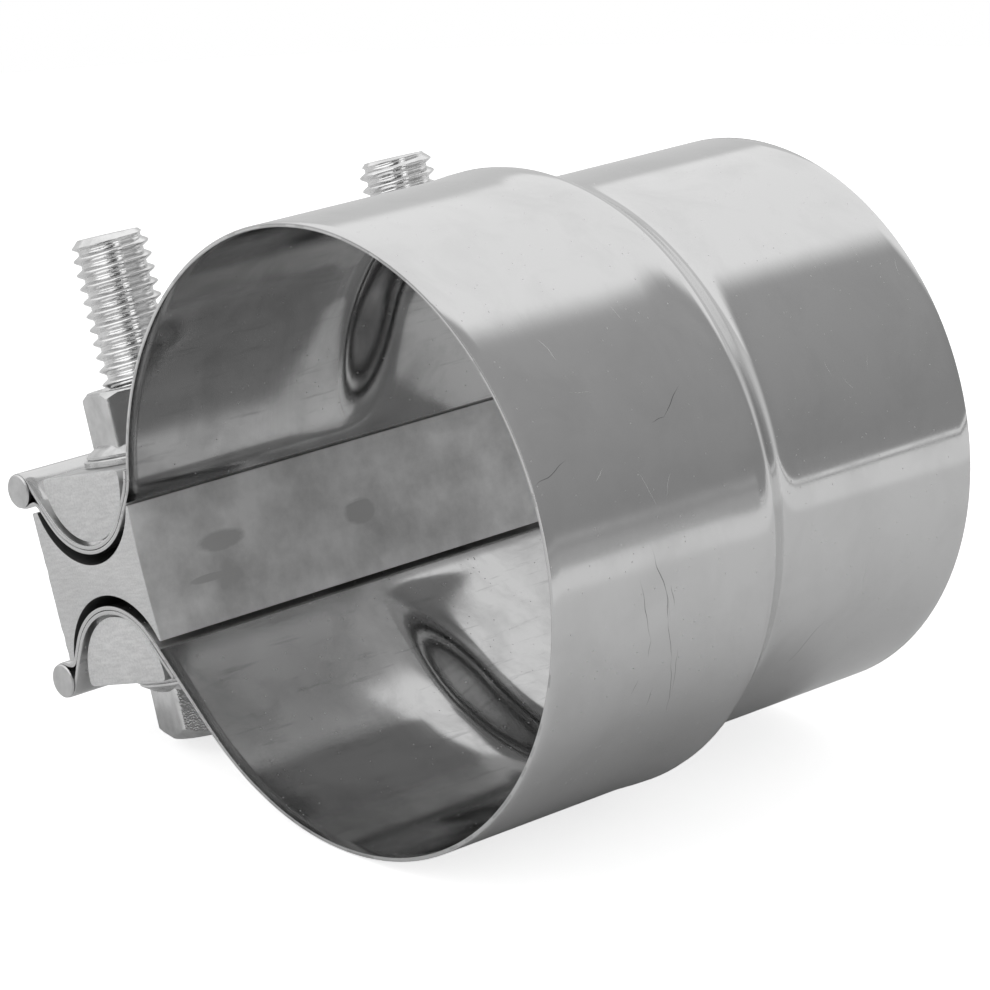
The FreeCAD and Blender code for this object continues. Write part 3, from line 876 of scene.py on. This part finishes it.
for row, y in clamp["boltRows"].items():
    head = hexagonWithCollar(bolt["headHeight"], bolt["turn"][row], bolt["endR"])
    pickOnly(head)
    head.rotation_euler = (math.pi, 0, 0)
    head.location = (0, 0, -seatUp)
    bpy.ops.object.transform_apply()
    start = bolt["threadFrom"]
    shank = lathe([(0, -seatUp - 0.5), (bolt["r"], -seatUp - 0.5), (bolt["r"], start - 0.6),
                   (bolt["r"] - bolt["depth"] + 0.05, start + 0.3), (0, start + 0.3)], 48)
    piece = joined(head, shank, threadedRod(start, bolt["reach"][row]))
    piece.location = (-clamp["boltOut"], y, 0)
    leanOver(piece)
    piece.data.materials.append(boltZinc)
    settle(piece, "hex_bolt_" + row, row + "_bolt", "plated_bolts", "bolt_" + row)

    piece = hexagonWithCollar(nut["height"], nut["turn"][row], nut["endR"])
    boreR, top = nut["boreR"], nut["height"]
    bore = lathe([(0, -0.5), (boreR + 1.1, -0.5), (boreR, 0.6), (boreR, top - 0.6),
                  (boreR + 0.7, top + 0.1), (boreR + 0.7, top + 1), (0, top + 1)], 64)
    cutWith(piece, bore)
    piece.location = (-clamp["boltOut"], y, seatUp)
    leanOver(piece)
    piece.data.materials.append(nutZinc)
    settle(piece, "collar_nut_" + row, row + "_nut", "plated_nuts", "nut_" + row)

    r, holeR, edge, top = washer["r"], washer["holeR"], washer["edge"], clamp["washerT"]
    for low, body, name in ((clamp["barFlatUp"], row + "_washer", "nut_washer_"),
                            (-seatUp, "clamp", "head_washer_")):
        piece = lathe([(holeR, 0), (r - edge, 0), (r, edge), (r, top - edge), (r - edge, top),
                       (holeR + edge, top), (holeR, top - edge), (holeR, 0)], 72)
        piece.location = (-clamp["boltOut"], y, low)
        leanOver(piece)
        piece.data.materials.append(washerZinc)
        settle(piece, "plain_" + name + row, body, "washers", name + row)
print("bolts done")


# Studio: a round pale table in a plain room, one broad soft light at the back and two windows
# behind the camera. The camera itself sees only white around the table.

studio = {
    "tableR": 0.33, "tableMiddle": 0.03,
    "tableDrop": 0.0002,          # a hair under the part, so that the surfaces don't share a plane
    "tableTone": "#E6E6E6",
    "tableGlow": 0.75,            # lifts the table to white for the camera
    "nearTable": 0.15,            # beyond this the table shines a little into the metal
    "farShine": 0.13,
    "wall": (0.3, 0.4),           # from 6 to 45 degrees up
    "soft": 0.98, "underSoft": 0.66,
    "softStart": (162.5, 176.5), "softEnd": (300.0, 350.0), "softUp": (15.0, 19.0),
    "skirting": 0.43,
    # the skirting's top falls away towards the back: (from, to) in compass turn, fall in degrees
    "falls": [(130.5, 132.6, 1.7), (132.7, 133.3, 5.2)],
    # a thin bright rail over it, narrower and brighter past this turn
    "railUp": 1.7, "railTurn": (132.7, 133.3), "railHalf": (1.9, 1.0), "railTone": (0.5, 0.9),
    # (opens, closes: compass turn + 100), (sill: height in degrees), tone
    "zones": [((45, 60), (115, 122), (12, 18), 1.35), ((161, 166), (184, 192), (12, 18), 1.35),
              ((121, 126), (157, 163), (-30, -20), 0.13)],
}


def buildWorld():
    world = bpy.data.worlds.new("studio_room")
    bpy.context.scene.world = world
    world.use_nodes = True
    tree = world.node_tree
    tree.nodes.clear()
    where = addNode(tree, "TexCoord")
    split = addNode(tree, "SeparateXYZ", {0: where.outputs["Generated"]})
    # compass turn: 0 towards -Y, 90 towards +X, in degrees up to 360, and height in degrees
    back = addNode(tree, "Math", {0: split.outputs["Y"], 1: -1.0}, operation="MULTIPLY")
    turn = addNode(tree, "Math", {0: split.outputs["X"], 1: back}, operation="ARCTAN2")
    turn = addNode(tree, "Math", {0: turn, 1: 180 / math.pi, 2: 360.0}, operation="MULTIPLY_ADD")
    turn = addNode(tree, "Math", {0: turn, 1: 360.0}, operation="MODULO")
    rise = addNode(tree, "Math", {0: split.outputs["Z"]}, operation="ARCSINE")
    rise = addNode(tree, "Math", {0: rise, 1: 180 / math.pi}, operation="MULTIPLY")
    wall = addNode(tree, "MapRange", {"Value": rise, "From Min": 6.0, "From Max": 45.0,
                                      "To Min": studio["wall"][0], "To Max": studio["wall"][1]})
    # height over the line along which the skirting ends
    drop = rise
    for near, far, fall in studio["falls"]:
        part = addNode(tree, "MapRange", {"Value": turn, "From Min": near, "From Max": far, "To Min": 0.0,
                                          "To Max": fall})
        drop = addNode(tree, "Math", {0: drop, 1: part}, operation="ADD")
    low = addNode(tree, "MapRange", {"Value": drop, "From Min": -1.0, "From Max": 0.4,
                                     "To Min": studio["skirting"], "To Max": 0.0})
    gap = addNode(tree, "Math", {0: drop, 1: studio["railUp"]}, operation="SUBTRACT")
    gap = addNode(tree, "Math", {0: gap}, operation="ABSOLUTE")
    left, right = studio["railTurn"]
    height, tone = (addNode(tree, "MapRange", {"Value": turn, "From Min": left, "From Max": right,
                                               "To Min": first, "To Max": last})
                    for first, last in (studio["railHalf"], studio["railTone"]))
    rail = addNode(tree, "MapRange", {"Value": gap, "From Min": height, "From Max": 0.4},
                   interpolation_type="SMOOTHSTEP")
    rail = addNode(tree, "Math", {0: rail, 1: tone}, operation="MULTIPLY")
    low = addNode(tree, "Math", {0: low, 1: rail}, operation="MAXIMUM")
    wallAll = addNode(tree, "Math", {0: wall, 1: low}, operation="MAXIMUM")
    # the soft light fills the back left of the room, over a paler stretch of wall
    start, end, sill = studio["softStart"], studio["softEnd"], studio["softUp"]
    side = addNode(tree, "MapRange", {"Value": turn, "From Min": start[0], "From Max": start[1]},
                   interpolation_type="SMOOTHSTEP")
    up = addNode(tree, "MapRange", {"Value": rise, "From Min": sill[0], "From Max": sill[1]},
                 interpolation_type="SMOOTHSTEP")
    farWall = addNode(tree, "MapRange", {"Value": turn, "From Min": end[0], "From Max": end[1],
                                         "To Min": 1.0, "To Max": 0.0})
    softSide = addNode(tree, "Math", {0: side, 1: farWall}, operation="MULTIPLY")
    softTone = addNode(tree, "Mix", {0: up, 2: studio["underSoft"], 3: studio["soft"]}, data_type="FLOAT")
    room = addNode(tree, "Mix", {0: softSide, 2: wallAll, 3: softTone}, data_type="FLOAT")
    # two windows behind the camera, and the dark camera stand between them
    aside = addNode(tree, "Math", {0: turn, 1: 100.0}, operation="ADD")
    aside = addNode(tree, "Math", {0: aside, 1: 360.0}, operation="MODULO")
    for opens, closes, sill, tone in studio["zones"]:
        zone = 1.0
        for value, span, way in ((aside, opens, (0.0, 1.0)), (aside, closes, (1.0, 0.0)),
                                 (rise, sill, (0.0, 1.0))):
            edge = addNode(tree, "MapRange", {"Value": value, "From Min": span[0], "From Max": span[1],
                                              "To Min": way[0], "To Max": way[1]},
                           interpolation_type="SMOOTHSTEP")
            zone = addNode(tree, "Math", {0: edge, 1: zone}, operation="MULTIPLY")
        room = addNode(tree, "Mix", {0: zone, 2: room, 3: tone}, data_type="FLOAT")
    path = addNode(tree, "LightPath")
    seen = addNode(tree, "Mix", {0: path.outputs["Is Camera Ray"], 2: room, 3: 1.0}, data_type="FLOAT")
    light = addNode(tree, "Background", {"Color": seen})
    addNode(tree, "OutputWorld", {"Surface": light})


def buildTable():
    clearSelection()
    place = (0, studio["tableMiddle"], cadBox[0].z - studio["tableDrop"])
    bpy.ops.mesh.primitive_circle_add(vertices=96, radius=studio["tableR"], fill_type="NGON", location=place)
    table = bpy.context.object
    table.name = "table"
    material = bpy.data.materials.new("pale_table")
    material.use_nodes = True
    tree = material.node_tree
    tree.nodes.clear()
    where = addNode(tree, "TexCoord")
    away = addNode(tree, "VectorMath", {0: where.outputs["Object"]}, operation="LENGTH")
    tone = addNode(tree, "MapRange", {"Value": away.outputs["Value"], "From Min": studio["nearTable"],
                                      "From Max": studio["nearTable"] + 0.02, "To Min": 0.0,
                                      "To Max": studio["farShine"]})
    path = addNode(tree, "LightPath")
    diffuse = addNode(tree, "BsdfDiffuse", {"Color": linear(studio["tableTone"])})
    shine = addNode(tree, "Math", {0: path.outputs["Is Glossy Ray"], 1: tone}, operation="MULTIPLY")
    shine = addNode(tree, "Math", {0: path.outputs["Is Camera Ray"], 1: studio["tableGlow"], 2: shine},
                    operation="MULTIPLY_ADD")
    glow = addNode(tree, "Emission", {"Color": (1, 1, 1, 1), "Strength": shine})
    both = addNode(tree, "AddShader", {0: diffuse, 1: glow})
    addNode(tree, "OutputMaterial", {"Surface": both})
    table.data.materials.append(material)


# Camera, solved from the photo's rim circles and outlines
photoCamera = {
    "turnDeg": 47.406, "dipDeg": 19.681,
    "unit": 0.0307,               # outside radius of the wide barrel
    "right": 0.5059, "up": 0.1546, "away": 13.5624,    # in those units
    "solvedDeg": 20.65,           # the part's roll that it was solved with
    "focalPx": 4456.7, "framePx": 990, "sensor": 36,
}


def buildCamera():
    turn, dip = math.radians(photoCamera["turnDeg"]), math.radians(photoCamera["dipDeg"])
    ahead = Vector((-math.sin(turn) * math.cos(dip), math.cos(turn) * math.cos(dip), -math.sin(dip)))
    right = Vector((math.cos(turn), math.sin(turn), 0))
    upward = right.cross(ahead)
    place = right * photoCamera["right"] + upward * photoCamera["up"] - ahead * photoCamera["away"]
    place *= photoCamera["unit"]
    roll = Matrix.Rotation(math.radians(photoCamera["solvedDeg"] - clamp["restDeg"]), 4, "Y")
    data = bpy.data.cameras.new("photo_camera")
    data.lens = photoCamera["focalPx"] * photoCamera["sensor"] / photoCamera["framePx"]
    data.sensor_width = photoCamera["sensor"]
    camera = bpy.data.objects.new("photo_camera", data)
    bpy.context.scene.collection.objects.link(camera)
    pose = Matrix((right, upward, -ahead)).transposed().to_4x4()
    pose.translation = place
    camera.matrix_world = roll @ pose
    data.clip_start, data.clip_end = 0.01, 10
    bpy.context.scene.camera = camera


buildWorld()
buildTable()
buildCamera()
bpy.context.scene.view_settings.view_transform = "Standard"
print("studio done")
